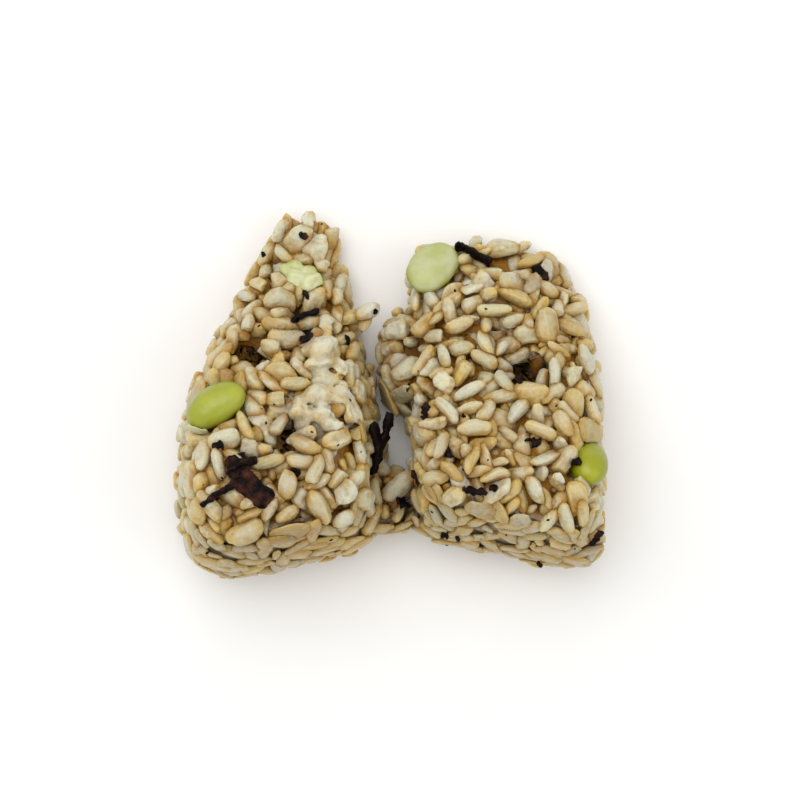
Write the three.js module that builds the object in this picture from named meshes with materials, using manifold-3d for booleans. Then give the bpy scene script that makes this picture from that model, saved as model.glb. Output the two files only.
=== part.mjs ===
// An onigiri, pulled open down its middle into two halves that lie side by side on their slanted outer
// sides. Their torn faces are turned up and their tips point to +Y. Near the base they still meet at a
// bridge of grains.
// The rice ball is pressed rice and barley with green soybeans and shreds of salted kelp mixed in.
// Millimetres, +Z up. Each half's rice is a core of rounded blocks with the grains that show fused to it.
// The soybeans sit in pockets of the rice, and the kelp shreds lie in grooves of it.
import * as THREE from "three";
import { MeshSurfaceSampler } from "three/addons/math/MeshSurfaceSampler.js";
import { mergeVertices } from "three/addons/utils/BufferGeometryUtils.js";
import Module from "manifold-3d";

const wasm = await Module();
wasm.setup();

// Driving dimensions of the rice ball, in millimetres and degrees
const TEAR_SLOPE = 30; // the torn face of each half against the table, half the angle at the ball's tip
const HALF_LIFT = 18; // height of each half's middle over the table
const FLAT_CUT = 1.4; // how far the blocks reach under the table, where they are cut flat
const TEAR_DISTANCE = 12.4; // from each half's middle up to its torn face
const EDGE_SHARPNESS = 11; // power that rounds a block's edges: higher is sharper
const LUMP = 0.9; // the core's low swells
const LUMP_PITCH = 6.5;

// Grains, as cooked and pressed
const GRAIN_SIDES = 5;
const GRAIN_ROWS = 3;
const GRAIN_PITCH = 7; // the least distance between two grains' middles
const GRAIN_TRIES = 6000;
const BARLEY_SHARE = 0.3;
const RICE_GRAIN = { length: 7.6, width: 4.1, thickness: 3.5 };
const BARLEY_GRAIN = { length: 8.6, width: 5.6, thickness: 4.4 };
const GRAIN_SPREAD = 0.14; // how far a grain's size strays, as a share
const GRAIN_SINK = 0.08; // depth of a grain's middle under the core, as a share of its thickness
const TORN_TILT = 26; // grains on torn rice stand up to this far from the surface
const PRESSED_TILT = 6;
const PRESSED_THICKNESS = 0.62; // grains at a moulded face are squeezed to this share
const BEAN_MARGIN = 2.2; // grains' middles keep this far from a soybean
const KELP_MARGIN = 3.2; // and this far from the middle line of a kelp shred
const KELP_CHECKS = 6; // steps along a shred at which that is looked at

const CLEARANCE = 0.3; // between the rice and a soybean or a kelp shred

// The line in plan along which the two halves came apart, from the tips to the base, and the gap left there
const PARTING_LINE = [[-1, 90], [-1, 20.6], [-3.7, 17.4], [-3.7, -3], [3.7, -15], [4, -33], [3, -90]];
const PARTING_GAP = 0.35;

const UP = new THREE.Vector3(0, 0, 1);
const radians = THREE.MathUtils.degToRad;

// One seeded stream of numbers from 0 to 1, the same on every run
function seededStream(seed) {
  let state = seed;
  return () => {
    state = (state * 1664525 + 1013904223) % 4294967296;
    return state / 4294967296;
  };
}
const random = seededStream(20417);
const between = (low, high) => low + (high - low) * random();

// Solids and geometries

function solidOf(geometry) {
  const bare = new THREE.BufferGeometry().setAttribute("position", geometry.getAttribute("position"));
  bare.setIndex(geometry.index);
  const merged = mergeVertices(bare, 1e-4);
  const mesh = new wasm.Mesh({
    numProp: 3,
    vertProperties: new Float32Array(merged.attributes.position.array),
    triVerts: new Uint32Array(merged.index.array),
  });
  return new wasm.Manifold(mesh);
}

function geometryOf(solid) {
  const mesh = solid.getMesh();
  const geometry = new THREE.BufferGeometry();
  geometry.setAttribute("position", new THREE.BufferAttribute(new Float32Array(mesh.vertProperties), 3));
  geometry.setIndex(new THREE.BufferAttribute(new Uint32Array(mesh.triVerts), 1));
  return geometry;
}

// The largest closed skin of a solid: loose scraps and sealed hollows are dropped
function oneBody(solid) {
  return solid.decompose().reduce((best, piece) => (piece.volume() > best.volume() ? piece : best));
}

// Rounded blocks: each is bounded by named faces, given by the way they face and their distance from the middle

function facing(azimuth, elevation) {
  const flat = Math.cos(radians(elevation));
  const x = flat * Math.cos(radians(azimuth));
  const y = flat * Math.sin(radians(azimuth));
  return new THREE.Vector3(x, y, Math.sin(radians(elevation)));
}

const rightHalf = {
  middle: [25.6, -9.2, HALF_LIFT],
  spine: [[25.6, -22, 17], [22.6, 25, 8]],
  faces: {
    torn: [90, 90 - TEAR_SLOPE, TEAR_DISTANCE],
    underside: [0, -90, HALF_LIFT + FLAT_CUT],
    base: [-103, 27, 22.9],
    baseCorner: [-101, 0, 29],
    baseUndercut: [-95, -45, 26.4],
    tip: [89, -30, 45.8],
    tipTop: [89, 12, 48],
    innerSide: [180, 4, 20.4],
    outerSide: [3, 6, 19.7],
    outerShoulder: [26, 4, 28],
  },
};

const leftHalf = {
  middle: [-24, -10, HALF_LIFT],
  spine: [[-25, -24, 16], [-19, 33, 7]],
  faces: {
    torn: [86, 90 - TEAR_SLOPE, TEAR_DISTANCE],
    underside: [0, -90, HALF_LIFT + FLAT_CUT],
    base: [-74, 30, 24.8],
    baseCorner: [-78, 0, 28],
    baseUndercut: [-82, -45, 26],
    baseOuter: [-140, 6, 33],
    tip: [92, -30, 50.5],
    tipTop: [92, 12, 54.5],
    outerSide: [180, 12, 21.5],
    outerSlant: [153, 8, 22],
    innerSlant: [14, 12, 17.8],
    innerSide: [-6, 18, 20.4],
  },
};

// The torn edge that slumps outwards beside the gap, near the right half's tip
const innerShoulder = {
  middle: [6.5, 8.5, 8],
  spine: [[6.5, 4, 8], [6.5, 13, 8]],
  faces: {
    top: [90, 75, 8],
    underside: [0, -90, 8 + FLAT_CUT],
    gapSide: [180, 10, 8.4],
    farSide: [0, 0, 9],
    tipSide: [90, 10, 9],
    baseSide: [-90, 10, 11],
  },
};

// The grains that still join the two halves
const bridge = {
  middle: [1.4, -24, 8.5],
  spine: [[-2, -24, 8.5], [5, -24, 8.5]],
  faces: {
    top: [90, 80, 7.2],
    underside: [0, -90, 8.5 + FLAT_CUT],
    leftEnd: [180, 0, 9],
    rightEnd: [0, 0, 9],
    tipSide: [90, 0, 6],
    baseSide: [-90, 0, 6.4],
  },
};

// How far out a point is in a block: 1 on its surface and less inside
function reach(block, point) {
  const out = point.clone().sub(new THREE.Vector3(...block.middle));
  const shares = Object.values(block.faces).map(([azimuth, elevation, distance]) =>
    Math.max(0, facing(azimuth, elevation).dot(out)) / distance,
  );
  return shares.reduce((sum, share) => sum + share ** EDGE_SHARPNESS, 0) ** (1 / EDGE_SHARPNESS);
}

// Low swells, as the rice was torn or pressed unevenly
function swell(point) {
  const turn = (value) => Math.sin(value / LUMP_PITCH);
  return LUMP * (turn(point.x * 1.9 + point.z) + turn(point.y * 1.7 - point.z) * turn(point.x * 1.3 + 9));
}

// A sphere whose points are pushed out from the block's spine until they meet its surface
function blockSolid(block, around, rows) {
  const furthest = 80;
  const halvings = 22;
  const geometry = new THREE.SphereGeometry(1, around, rows);
  const spine = new THREE.Line3(...block.spine.map((end) => new THREE.Vector3(...end)));
  const position = geometry.getAttribute("position");
  const direction = new THREE.Vector3();
  const start = new THREE.Vector3();
  const point = new THREE.Vector3();
  for (let i = 0; i < position.count; i++) {
    direction.fromBufferAttribute(position, i).normalize();
    spine.at((direction.y + 1) / 2, start);
    let inside = 0;
    let outside = furthest;
    for (let step = 0; step < halvings; step++) {
      const middle = (inside + outside) / 2;
      point.copy(start).addScaledVector(direction, middle);
      if (reach(block, point) < 1) inside = middle;
      else outside = middle;
    }
    point.copy(start).addScaledVector(direction, inside + swell(point));
    position.setXYZ(i, point.x, point.y, point.z);
  }
  return solidOf(geometry);
}

// Everything above the table, as a box to trim with
function aboveTable() {
  const size = 200;
  return solidOf(new THREE.BoxGeometry(size, size, size).translate(0, 0, size / 2));
}

// Facets round a block and along it
const [HALF_AROUND, HALF_ROWS] = [20, 16];
const [SMALL_AROUND, SMALL_ROWS] = [12, 8];

const core = oneBody(
  wasm.Manifold.union([
    blockSolid(leftHalf, HALF_AROUND, HALF_ROWS),
    blockSolid(rightHalf, HALF_AROUND, HALF_ROWS),
    blockSolid(innerShoulder, SMALL_AROUND, SMALL_ROWS),
    blockSolid(bridge, SMALL_AROUND, SMALL_ROWS),
  ]).intersect(aboveTable()),
);
const coreMesh = new THREE.Mesh(geometryOf(core), new THREE.MeshBasicMaterial({ side: THREE.DoubleSide }));

// The core's skin where a ray meets it: from above, or from a side
function skinAt(origin, direction) {
  const [hit] = new THREE.Raycaster(origin, direction).intersectObject(coreMesh);
  if (!hit) throw new Error("no rice at " + origin.toArray());
  return { point: hit.point, normal: hit.face.normal };
}
const skinBelow = (x, y) => skinAt(new THREE.Vector3(x, y, 100), new THREE.Vector3(0, 0, -1));

// Green soybeans: kidney-shaped, with a slight dent along one long side

const BEAN_AROUND = 12;
const BEAN_ROWS = 9;

function beanGeometry({ length, width, thickness, dent }, grow) {
  const geometry = new THREE.SphereGeometry(0.5, BEAN_AROUND, BEAN_ROWS);
  const position = geometry.getAttribute("position");
  for (let i = 0; i < position.count; i++) {
    const along = position.getY(i) * 2;
    const across = position.getX(i) * (width + 2 * grow) - dent * (1 - along * along) * 0.5;
    const up = position.getZ(i) * (thickness + 2 * grow);
    position.setXYZ(i, across, position.getY(i) * (length + 2 * grow), up);
  }
  return geometry;
}

const headed = (bearing) => facing(bearing, 0);

// A frame on the skin: its long way lies along the heading as near as the skin allows, then pitches up from it
function layOn({ point, normal }, heading, pitch, rise) {
  const along = heading.clone().addScaledVector(normal, -heading.dot(normal)).normalize();
  const across = new THREE.Vector3().crossVectors(along, normal).normalize();
  along.applyAxisAngle(across, radians(pitch));
  const up = new THREE.Vector3().crossVectors(across, along);
  const middle = point.clone().addScaledVector(normal, rise);
  return new THREE.Matrix4().makeBasis(across, along, up).setPosition(middle);
}

const WHOLE_BEAN = { length: 14.4, width: 9.4, thickness: 8, dent: 1.3 };
const SPLIT_BEAN = { length: 14.6, width: 10.8, thickness: 6.6, dent: 0.4 };
const SIDE_BEAN = { length: 12.6, width: 8.8, thickness: 8, dent: 0.8 };
const TORN_BEAN = { length: 12, width: 7.4, thickness: 3.6, dent: -0.8 };

const tornFace = facing(90, 90 - TEAR_SLOPE);

const beans = {
  soybean_left: { form: WHOLE_BEAN, place: layOn(skinBelow(-38, -3), headed(33), -4, 0.9) },
  soybean_right_tip: {
    form: SPLIT_BEAN,
    place: layOn({ point: skinBelow(9, 28).point, normal: tornFace }, headed(58), -4, 1.8),
  },
  soybean_right_side: {
    form: SIDE_BEAN,
    place: layOn({ point: new THREE.Vector3(42.8, -15, 30.6), normal: UP }, headed(80), -58, 0),
  },
  soybean_torn: { form: TORN_BEAN, place: layOn(skinBelow(-20.6, 26.6), headed(-52), 6, 0.9) },
};

// Salted kelp: narrow flat shreds that follow a curve laid over the skin

const SHRED_STEPS_PER_MM = 0.4;

// Stops on the core's skin: x, y and the rise over it
function lying(...stops) {
  return stops.map(([x, y, rise]) => {
    const { point, normal } = skinBelow(x, y);
    return point.addScaledVector(normal, rise);
  });
}

// Stops that stand free: x, y and the height over the table
function standing(...stops) {
  return stops.map((stop) => new THREE.Vector3(...stop));
}

// The curve through the stops, longer by the growth at both ends
function shredPath(stops, grow) {
  const points = stops.map((stop) => stop.clone());
  const [first, second] = stops;
  const [last, beforeLast] = [stops.at(-1), stops.at(-2)];
  points[0].add(first.clone().sub(second).setLength(grow));
  points.at(-1).add(last.clone().sub(beforeLast).setLength(grow));
  return new THREE.CatmullRomCurve3(points);
}

function shredSolid({ stops, width, thickness, turn }, grow) {
  const path = shredPath(stops, grow);
  const [w, t] = [width / 2 + grow, thickness / 2 + grow];
  const corners = [[-w, 0], [-w * 0.6, -t], [w * 0.6, -t], [w, 0], [w * 0.6, t], [-w * 0.6, t]];
  const [cos, sin] = [Math.cos(radians(turn)), Math.sin(radians(turn))];
  const turned = corners.map(([x, y]) => new THREE.Vector2(x * cos - y * sin, x * sin + y * cos));
  const section = new THREE.Shape(turned);
  const steps = Math.max(4, Math.round(path.getLength() * SHRED_STEPS_PER_MM));
  return solidOf(new THREE.ExtrudeGeometry(section, { steps, bevelEnabled: false, extrudePath: path }));
}

const shred = (width, thickness, turn, stops) => ({ width, thickness, turn, stops });

// Each named shred or bunch of shreds, as its strips: width, thickness and turn about its length
const kelp = {
  kelp_bunch: [
    shred(2, 1.2, 0, lying([-40.1, -23.5, 2], [-36.5, -21.1, 1.8], [-32.8, -18.6, 1.5])),
    shred(5, 1.2, 10, lying([-33.8, -13.4, 0.9], [-32.2, -17.8, 1.7], [-29.4, -20.8, 1.5], [-26, -23, 0.8])),
    shred(3.6, 1.2, -12, lying([-35.2, -17.4, 1.2], [-32.2, -15.8, 1.6], [-29.4, -14.6, 0.9])),
  ],
  kelp_fork: [
    shred(3.2, 1.3, 70, standing([-4.6, -16.6, 17], [-3.3, -13.8, 19], [-3.4, -10.4, 21.4], [-4.4, -7, 23.4])),
    shred(2.2, 1.2, 60, standing([-3.5, -14, 18.6], [-2.7, -11.4, 20], [-1.4, -8, 21], [-0.6, -4.6, 21.6])),
  ],
  kelp_ridge: [
    shred(2.8, 1.2, 30, lying([14.4, 33.6, 0.9], [16.8, 32.6, 1.3], [19.4, 30.8, 1.3], [22, 29.6, 0.7])),
  ],
  kelp_left_tip: [shred(2.2, 1.1, 10, lying([-23.4, 15.4, 0.9], [-20.6, 17, 1.2], [-16.6, 18.4, 0.9]))],
};

// Small shreds that are fused to the rice: x, y of the middle, bearing and length
const SCRAP = { width: 2.2, thickness: 1.1, turn: 15, endRise: 0.3, middleRise: 0.9 };
const scraps = [
  [19.4, -21.4, -12, 5.6],
  [32.8, -11, -8, 4.4],
  [31.6, 27, -20, 5],
  [5.8, -2.4, 80, 6],
  [30, 7, 100, 5],
  [-15.2, -9, 70, 5.4],
  [-34.4, -10.4, 30, 4.4],
  [-27.6, 9.6, 60, 4.4],
];

function scrapSolid([x, y, bearing, length]) {
  const { width, thickness, turn, endRise, middleRise } = SCRAP;
  const [dx, dy] = [(Math.cos(radians(bearing)) * length) / 2, (Math.sin(radians(bearing)) * length) / 2];
  const stops = lying([x - dx, y - dy, endRise], [x, y, middleRise], [x + dx, y + dy, endRise]);
  return shredSolid(shred(width, thickness, turn, stops), 0);
}

// Grains over the core's skin

const TORN = 0.8; // the upward part of a torn face's normal is over this
const UNDERSIDE = -0.75; // and that of the underside's is under this

function isTorn(normal) {
  return normal.z > TORN;
}

function grainSolid({ length, width, thickness }, place) {
  const geometry = new THREE.SphereGeometry(0.5, GRAIN_SIDES, GRAIN_ROWS).scale(width, length, thickness);
  return solidOf(geometry.applyMatrix4(place));
}

// Grains stay off the beans and the kelp
const keptClear = [];
for (const { form, place } of Object.values(beans)) {
  const middle = new THREE.Vector3().setFromMatrixPosition(place);
  const along = new THREE.Vector3().setFromMatrixColumn(place, 1);
  for (const share of [-0.28, 0, 0.28]) {
    keptClear.push([middle.clone().addScaledVector(along, form.length * share), form.width / 2 + BEAN_MARGIN]);
  }
}
for (const { stops } of Object.values(kelp).flat()) {
  for (const point of new THREE.CatmullRomCurve3(stops).getSpacedPoints(KELP_CHECKS)) {
    keptClear.push([point, KELP_MARGIN]);
  }
}

function scatterGrains() {
  const sampler = new MeshSurfaceSampler(coreMesh).setRandomGenerator(random).build();
  const taken = [];
  const grains = [];
  const point = new THREE.Vector3();
  const normal = new THREE.Vector3();
  for (let attempt = 0; attempt < GRAIN_TRIES; attempt++) {
    sampler.sample(point, normal);
    const underneath = normal.z < UNDERSIDE;
    const crowded = taken.some((other) => other.distanceTo(point) < GRAIN_PITCH);
    const blocked = keptClear.some(([middle, radius]) => middle.distanceTo(point) < radius);
    if (underneath || crowded || blocked) continue;
    taken.push(point.clone());
    const kind = random() < BARLEY_SHARE ? BARLEY_GRAIN : RICE_GRAIN;
    const scale = 1 + between(-GRAIN_SPREAD, GRAIN_SPREAD);
    const torn = isTorn(normal);
    const size = {
      length: kind.length * scale,
      width: kind.width * scale,
      thickness: kind.thickness * scale * (torn ? 1 : PRESSED_THICKNESS),
    };
    const tilt = torn ? TORN_TILT : PRESSED_TILT;
    const heading = new THREE.Vector3(between(-1, 1), between(-1, 1), between(-1, 1));
    const place = layOn({ point, normal }, heading, between(-tilt, tilt), -size.thickness * GRAIN_SINK);
    grains.push(grainSolid(size, place));
  }
  return grains;
}

// Grains that stand out, at the left tip, beside the gap and at the right base: x, y, z, bearing and pitch
const strayGrains = [
  [-25.4, 37.4, 6.5, 72, -14, BARLEY_GRAIN],
  [-18.8, 37.4, 6.5, 82, -10, BARLEY_GRAIN],
  [-14.2, 36.6, 6.5, 84, -10, BARLEY_GRAIN],
  [-14.8, 32.4, 7, 80, -14, BARLEY_GRAIN],
  [-22.2, 35.4, 4.4, 100, 0, RICE_GRAIN],
  [-9.8, 17.4, 11.6, 15, 0, RICE_GRAIN],
  [-5.7, 18.9, 12.6, 25, -8, RICE_GRAIN],
  [33.4, -36, 8, 66, 0, BARLEY_GRAIN],
];

function straySolid([x, y, z, bearing, pitch, size]) {
  return grainSolid(size, layOn({ point: new THREE.Vector3(x, y, z), normal: UP }, headed(bearing), pitch, 0));
}

// The thin wall that keeps the halves apart
function partingWall() {
  const height = 200;
  const side = (sign) => PARTING_LINE.map(([x, y]) => new THREE.Vector2(x + (sign * PARTING_GAP) / 2, y));
  const plan = new THREE.Shape([...side(-1), ...side(1).reverse()]);
  return solidOf(new THREE.ExtrudeGeometry(plan, { depth: height, bevelEnabled: false }).translate(0, 0, -1));
}

const beanPockets = wasm.Manifold.union(
  Object.values(beans).map(({ form, place }) => solidOf(beanGeometry(form, CLEARANCE).applyMatrix4(place))),
);
const kelpGrooves = wasm.Manifold.union(
  Object.values(kelp)
    .flat()
    .map((strip) => shredSolid(strip, CLEARANCE)),
);

// The rice of both halves: core, grains and scraps, with the pockets cut and the underside flat on the table
function riceHalves() {
  const showing = [...scatterGrains(), ...strayGrains.map(straySolid), ...scraps.map(scrapSolid)];
  const whole = wasm.Manifold.union([core, ...showing]).intersect(aboveTable());
  const pieces = whole.subtract(beanPockets).subtract(kelpGrooves).subtract(partingWall()).decompose();
  const halves = pieces.sort((one, other) => other.volume() - one.volume()).slice(0, 2);
  return halves.sort((one, other) => one.boundingBox().min[0] - other.boundingBox().min[0]);
}

const riceMaterial = new THREE.MeshStandardMaterial({ color: "#d9c9a3", roughness: 0.45, metalness: 0 });
const soybeanMaterial = new THREE.MeshStandardMaterial({ color: "#b4be4a", roughness: 0.35, metalness: 0 });
const kelpMaterial = new THREE.MeshStandardMaterial({ color: "#2a1c16", roughness: 0.4, metalness: 0 });

function named(name, geometry, material) {
  const mesh = new THREE.Mesh(geometry, material);
  mesh.name = name;
  return mesh;
}

const onigiri = new THREE.Group();
const [riceLeft, riceRight] = riceHalves();
onigiri.add(named("rice_left", geometryOf(riceLeft), riceMaterial));
onigiri.add(named("rice_right", geometryOf(riceRight), riceMaterial));
for (const [name, { form, place }] of Object.entries(beans)) {
  onigiri.add(named(name, beanGeometry(form, 0).applyMatrix4(place), soybeanMaterial));
}
for (const [name, strips] of Object.entries(kelp)) {
  const bunch = wasm.Manifold.union(strips.map((strip) => shredSolid(strip, 0)));
  const solid = oneBody(bunch.subtract(beanPockets));
  onigiri.add(named(name, geometryOf(solid), kelpMaterial));
}

// The origin is under the middle of the whole, on the table
const middle = new THREE.Box3().setFromObject(onigiri, true).getCenter(new THREE.Vector3());
onigiri.position.set(-middle.x, -middle.y, 0);

export default onigiri;
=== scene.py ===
"""Dresses the solids of a torn onigiri with cooked grains, soybeans and salted kelp, on a plain stage."""

import math

import bmesh
import bpy
import numpy as np
from mathutils import Matrix, Vector, noise
from mathutils.bvhtree import BVHTree
from mathutils.kdtree import KDTree


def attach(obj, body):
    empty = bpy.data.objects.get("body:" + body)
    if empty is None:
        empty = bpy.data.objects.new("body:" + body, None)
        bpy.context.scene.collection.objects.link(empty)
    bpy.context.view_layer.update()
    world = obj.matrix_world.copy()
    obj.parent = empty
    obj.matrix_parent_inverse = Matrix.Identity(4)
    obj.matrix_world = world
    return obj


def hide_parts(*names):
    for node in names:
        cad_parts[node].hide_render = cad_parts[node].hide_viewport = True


bl_info = {
    "name": "Onigiri Dresser",
    "version": (1, 0, 0),
    "blender": (4, 5, 0),
    "location": "3D View > Sidebar > Onigiri",
    "description": "Dresses the solids of a torn rice ball with grains, soybeans and kelp",
    "category": "Object",
}

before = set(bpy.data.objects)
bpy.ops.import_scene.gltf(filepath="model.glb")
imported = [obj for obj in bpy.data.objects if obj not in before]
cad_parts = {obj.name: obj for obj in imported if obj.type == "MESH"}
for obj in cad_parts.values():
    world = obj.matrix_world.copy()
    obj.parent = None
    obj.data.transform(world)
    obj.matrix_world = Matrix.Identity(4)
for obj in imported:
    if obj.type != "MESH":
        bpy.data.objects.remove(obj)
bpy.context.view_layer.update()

MM = 0.001
HALVES = ("left", "right")
PASTE = "rice_paste_"
SOYBEANS = ("soybean_left", "soybean_right_tip", "soybean_right_side", "soybean_torn")
KELP_SWELL = {"kelp_bunch": 0.1, "kelp_fork": 0.35, "kelp_ridge": 0.05, "kelp_left_tip": 0.05}
KELP_SEED = 11

# The view: a square image, and the camera over the part with the tips at the top
IMAGE_SIDE = 800
PIXELS_PER_MM = 4.5
CAMERA_AIM = Vector((2.44, -1.44, 20.0)) * MM
CAMERA_DISTANCE = 450 * MM
CAMERA_ELEVATION = 90.0
SENSOR_WIDTH = 36.0

# The soft lights: name, place and side in metres, and share of the main light's power
LIGHTS = (("main light", (-0.14, 0.22, 0.62), 0.6, 1.0), ("side light", (0.5, -0.1, 0.5), 0.5, 0.25))

# The rice's skin, from the solids, and the paste under it
SKIN_VOXEL = 1.0 * MM
SKIN_SMOOTHING = 24
PASTE_DEPTH_TORN = 2.0
PASTE_DEPTH_MASHED = -0.3
PASTE_DEPTH_PRESSED = 0.9
PASTE_DEPTH_SIDE = 2.0
PASTE_DEPTH_STAINED = 2.2  # added at the stain and shade spots
PASTE_LUMP = 1.1  # how far mashed rice rises and falls
TORN_UP = 0.74  # a face whose normal rises more than this is torn, and any other is pressed
FLOOR_GAP = 0.05
SQUASH_BELOW = 0.4  # grains nearer to the table are flattened against it
PRESSED_FORM = np.array([1.05, 1.15, 0.66])  # what pressing makes of a grain's length, width and thickness
MASH_VOXEL = 0.5 * MM
MASH_SMOOTHING = 4
RISE_PRESSED, RISE_TORN, RISE_SIDE = 1.0, 3.4, 1.3  # what rises more over the skin is pushed down
RISE_CUT = 0.72
SMALL_SHARE = 0.14  # of the scattered grains
PRESSED_HEIGHT = 0.1  # of the moulded base's grains over the skin
CHOSEN_ROOM = 2.7  # scattered top grains start at least this far from a chosen one
BASE_BACK = -0.35  # a face that isn't torn and whose normal's Y is less than this is a moulded base

# Kinds of grain, in millimetres: the sizes of cooked grains
KINDS = {
    "rice": {"length": 7.1, "width": 3.2, "thickness": 2.9, "around": 9, "rings": 8},
    "barley": {"length": 7.9, "width": 5.0, "thickness": 4.1, "around": 10, "rings": 8},
    "mash": {"length": 6.2, "width": 4.9, "thickness": 2.8, "around": 10, "rings": 9},
}

# Layers of grains: the least spacing, the height of the grains' middles over the skin and how far it
# strays, the faces they lie on and the kinds' shares
LAYERS = (
    {"spacing": 2.95, "height": -0.5, "stray": 1.4, "torn": True, "shares": (0.8, 0.14, 0.06)},
    {"spacing": 3.6, "height": -2.7, "stray": 0.5, "torn": True, "shares": (0.8, 0.14, 0.06)},
    {"spacing": 4.4, "height": -4.6, "stray": 0.4, "torn": True, "shares": (0.7, 0.2, 0.1)},
    {"spacing": 3.3, "height": -1.5, "stray": 0.8, "torn": False, "shares": (0.8, 0.14, 0.06)},
)

# Settling: grains push each other apart, and keep near their layer
SETTLE_STEPS = 60
SETTLE_REACH = 9.5
TIGHTNESS = 0.68
SHOVE = 0.22  # share of an overlap that each step takes away
LONGEST_SHOVE = 1.2
BALLS = np.array([-1.0, 0.0, 1.0])
TOUCH_REACH = 1.5  # a grain's skin takes the broth tint and painted crevice shade where the next grain is nearer than this

# Hollows and swells of the torn faces: pixel in the photograph, radius and height in millimetres
RELIEF = (
    (323, 345, 4.5, 1.8), (302, 338, 3.2, -2.6), (250, 350, 3.4, -2.6), (292, 430, 3.6, -2.2), (300, 392, 7.0, 0.8),
    (523, 368, 3.8, -3.0), (430, 400, 3.4, -1.6), (470, 380, 8.0, 0.8), (300, 315, 4.0, -1.4), (560, 300, 8.0, -0.8),
    (236, 480, 5.0, -1.0),
)

# Open hollows between the grains: pixel and radius in millimetres
HOLLOWS = (
    (523, 362, 2.7), (519, 374, 2.9), (514, 386, 2.2), (300, 338, 2.5), (248, 346, 2.3), (251, 358, 2.3),
    (289, 438, 2.1), (427, 408, 1.9), (502, 329, 1.7), (408, 350, 1.7), (450, 452, 1.8),
)

# Grains that stand out in the photograph: pixel, bearing, kind and the rise of the middle over the skin
HERO_GRAINS = (
    (475, 431, 2, "barley", 1.0), (530, 395, -8, "barley", 0.9), (462, 370, 60, "barley", 1.2),
    (461, 350, 5, "rice", 0.4), (494, 312, -2, "rice", 1.2), (515, 300, -22, "barley", 0.9),
    (459, 327, 25, "rice", 0.8), (486, 344, -75, "rice", 0.9), (505, 384, -70, "rice", 0.6),
    (519, 412, 50, "rice", 0.7), (470, 392, 30, "rice", 0.5), (424, 362, 55, "rice", 0.3),
    (436, 410, -40, "rice", 0.5), (473, 462, 75, "rice", 1.0), (495, 476, 15, "rice", 0.8),
    (535, 490, -65, "rice", 0.7), (563, 425, -75, "rice", 0.7), (573, 440, -70, "rice", 0.6),
    (545, 460, 20, "rice", 0.5), (553, 395, 40, "rice", 0.4), (585, 360, -70, "rice", 0.4),
    (575, 372, 60, "rice", 0.5), (560, 262, -35, "rice", 0.6), (531, 262, 30, "rice", 0.7),
    (417, 300, -60, "rice", 0.6), (432, 300, -65, "rice", 0.5), (424, 325, 30, "barley", 0.6),
    (279, 305, -5, "barley", 0.9), (262, 287, -30, "rice", 0.5), (280, 327, -12, "barley", 0.6),
    (286, 340, 0, "barley", 0.5), (326, 290, 80, "rice", 0.8), (337, 300, -80, "rice", 0.6),
    (222, 355, 30, "barley", 0.6), (232, 345, 80, "rice", 0.8), (276, 352, -20, "rice", 0.8),
    (281, 377, -15, "barley", 0.9), (245, 427, -70, "rice", 0.6), (279, 400, 5, "barley", 0.5),
    (358, 432, -72, "rice", 1.0), (334, 440, 30, "barley", 0.8), (268, 462, 15, "rice", 0.7),
    (314, 470, 62, "rice", 0.9), (318, 507, -58, "barley", 0.7), (338, 478, 35, "rice", 0.6),
    (205, 455, -82, "rice", 0.4), (219, 465, -75, "rice", 0.5), (193, 480, -75, "barley", 0.3),
    (202, 510, 62, "barley", 0.3), (245, 530, 22, "barley", 0.5), (290, 530, 8, "barley", 0.5),
    (343, 517, 40, "rice", 0.5), (371, 520, 30, "rice", 0.2), (270, 510, 60, "rice", 0.3),
)

# Lumps of mashed grains, pale and flaky: pixel, bearing, size as a share of a mash lump and the rise of the middle
FLAKES = (
    (328, 349, 80, 1.75, 1.9), (327, 328, 85, 1.1, 1.9), (317, 368, 20, 1.05, 1.7), (337, 367, 110, 1.05, 1.7),
    (300, 402, 30, 1.15, 0.4), (317, 394, 0, 1.1, 0.3), (324, 412, 60, 1.3, 0.2), (341, 398, -20, 1.1, 0.4),
    (308, 422, -30, 1.05, 0.5), (336, 428, 10, 1.15, 0.6), (352, 414, 50, 1.1, 0.4), (304, 438, 20, 1.1, 0.9),
    (358, 392, 40, 1.0, 0.6), (281, 233, 60, 1.1, 1.2), (312, 224, 100, 1.0, 1.0), (318, 248, 50, 1.2, 1.2),
    (322, 266, 70, 0.9, 0.9), (470, 290, 20, 0.9, 0.7), (520, 275, 10, 0.8, 0.7),
)

# Grains that stand out from the rice, in millimetres from the part's origin: x, y, z, bearing, kind
STRAY_GRAINS = (
    (-24.5, 37.1, 6.8, 72, "rice"), (-23.2, 38.8, 6.0, 80, "rice"), (-18.9, 39.4, 6.0, 97, "rice"),
    (-22.6, 38.2, 5.4, 58, "rice"), (-17.9, 37.4, 6.8, 84, "rice"), (-13.3, 36.6, 6.8, 84, "barley"),
    (-13.9, 32.1, 7.4, 78, "rice"), (-21.3, 35.1, 5.0, 100, "rice"), (-8.9, 17.1, 11.9, 14, "rice"),
    (-4.8, 18.6, 12.9, 24, "rice"), (-5.6, -3.0, 13.0, -48, "barley"), (-5.0, 1.4, 10.5, 40, "rice"),
    (34.3, -36.0, 8.2, 60, "barley"),
)

# Where the rice is mashed to pale flakes: pixel in the photograph, radius in millimetres and strength
MASHED = (
    (322, 350, 6.0, 0.9), (330, 412, 8.0, 0.8), (302, 402, 5.5, 0.6), (362, 398, 5.0, 0.45), (285, 228, 4.0, 0.5),
    (320, 256, 4.5, 0.6), (480, 285, 6.0, 0.35), (470, 500, 6.0, 0.25),
)

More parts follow.
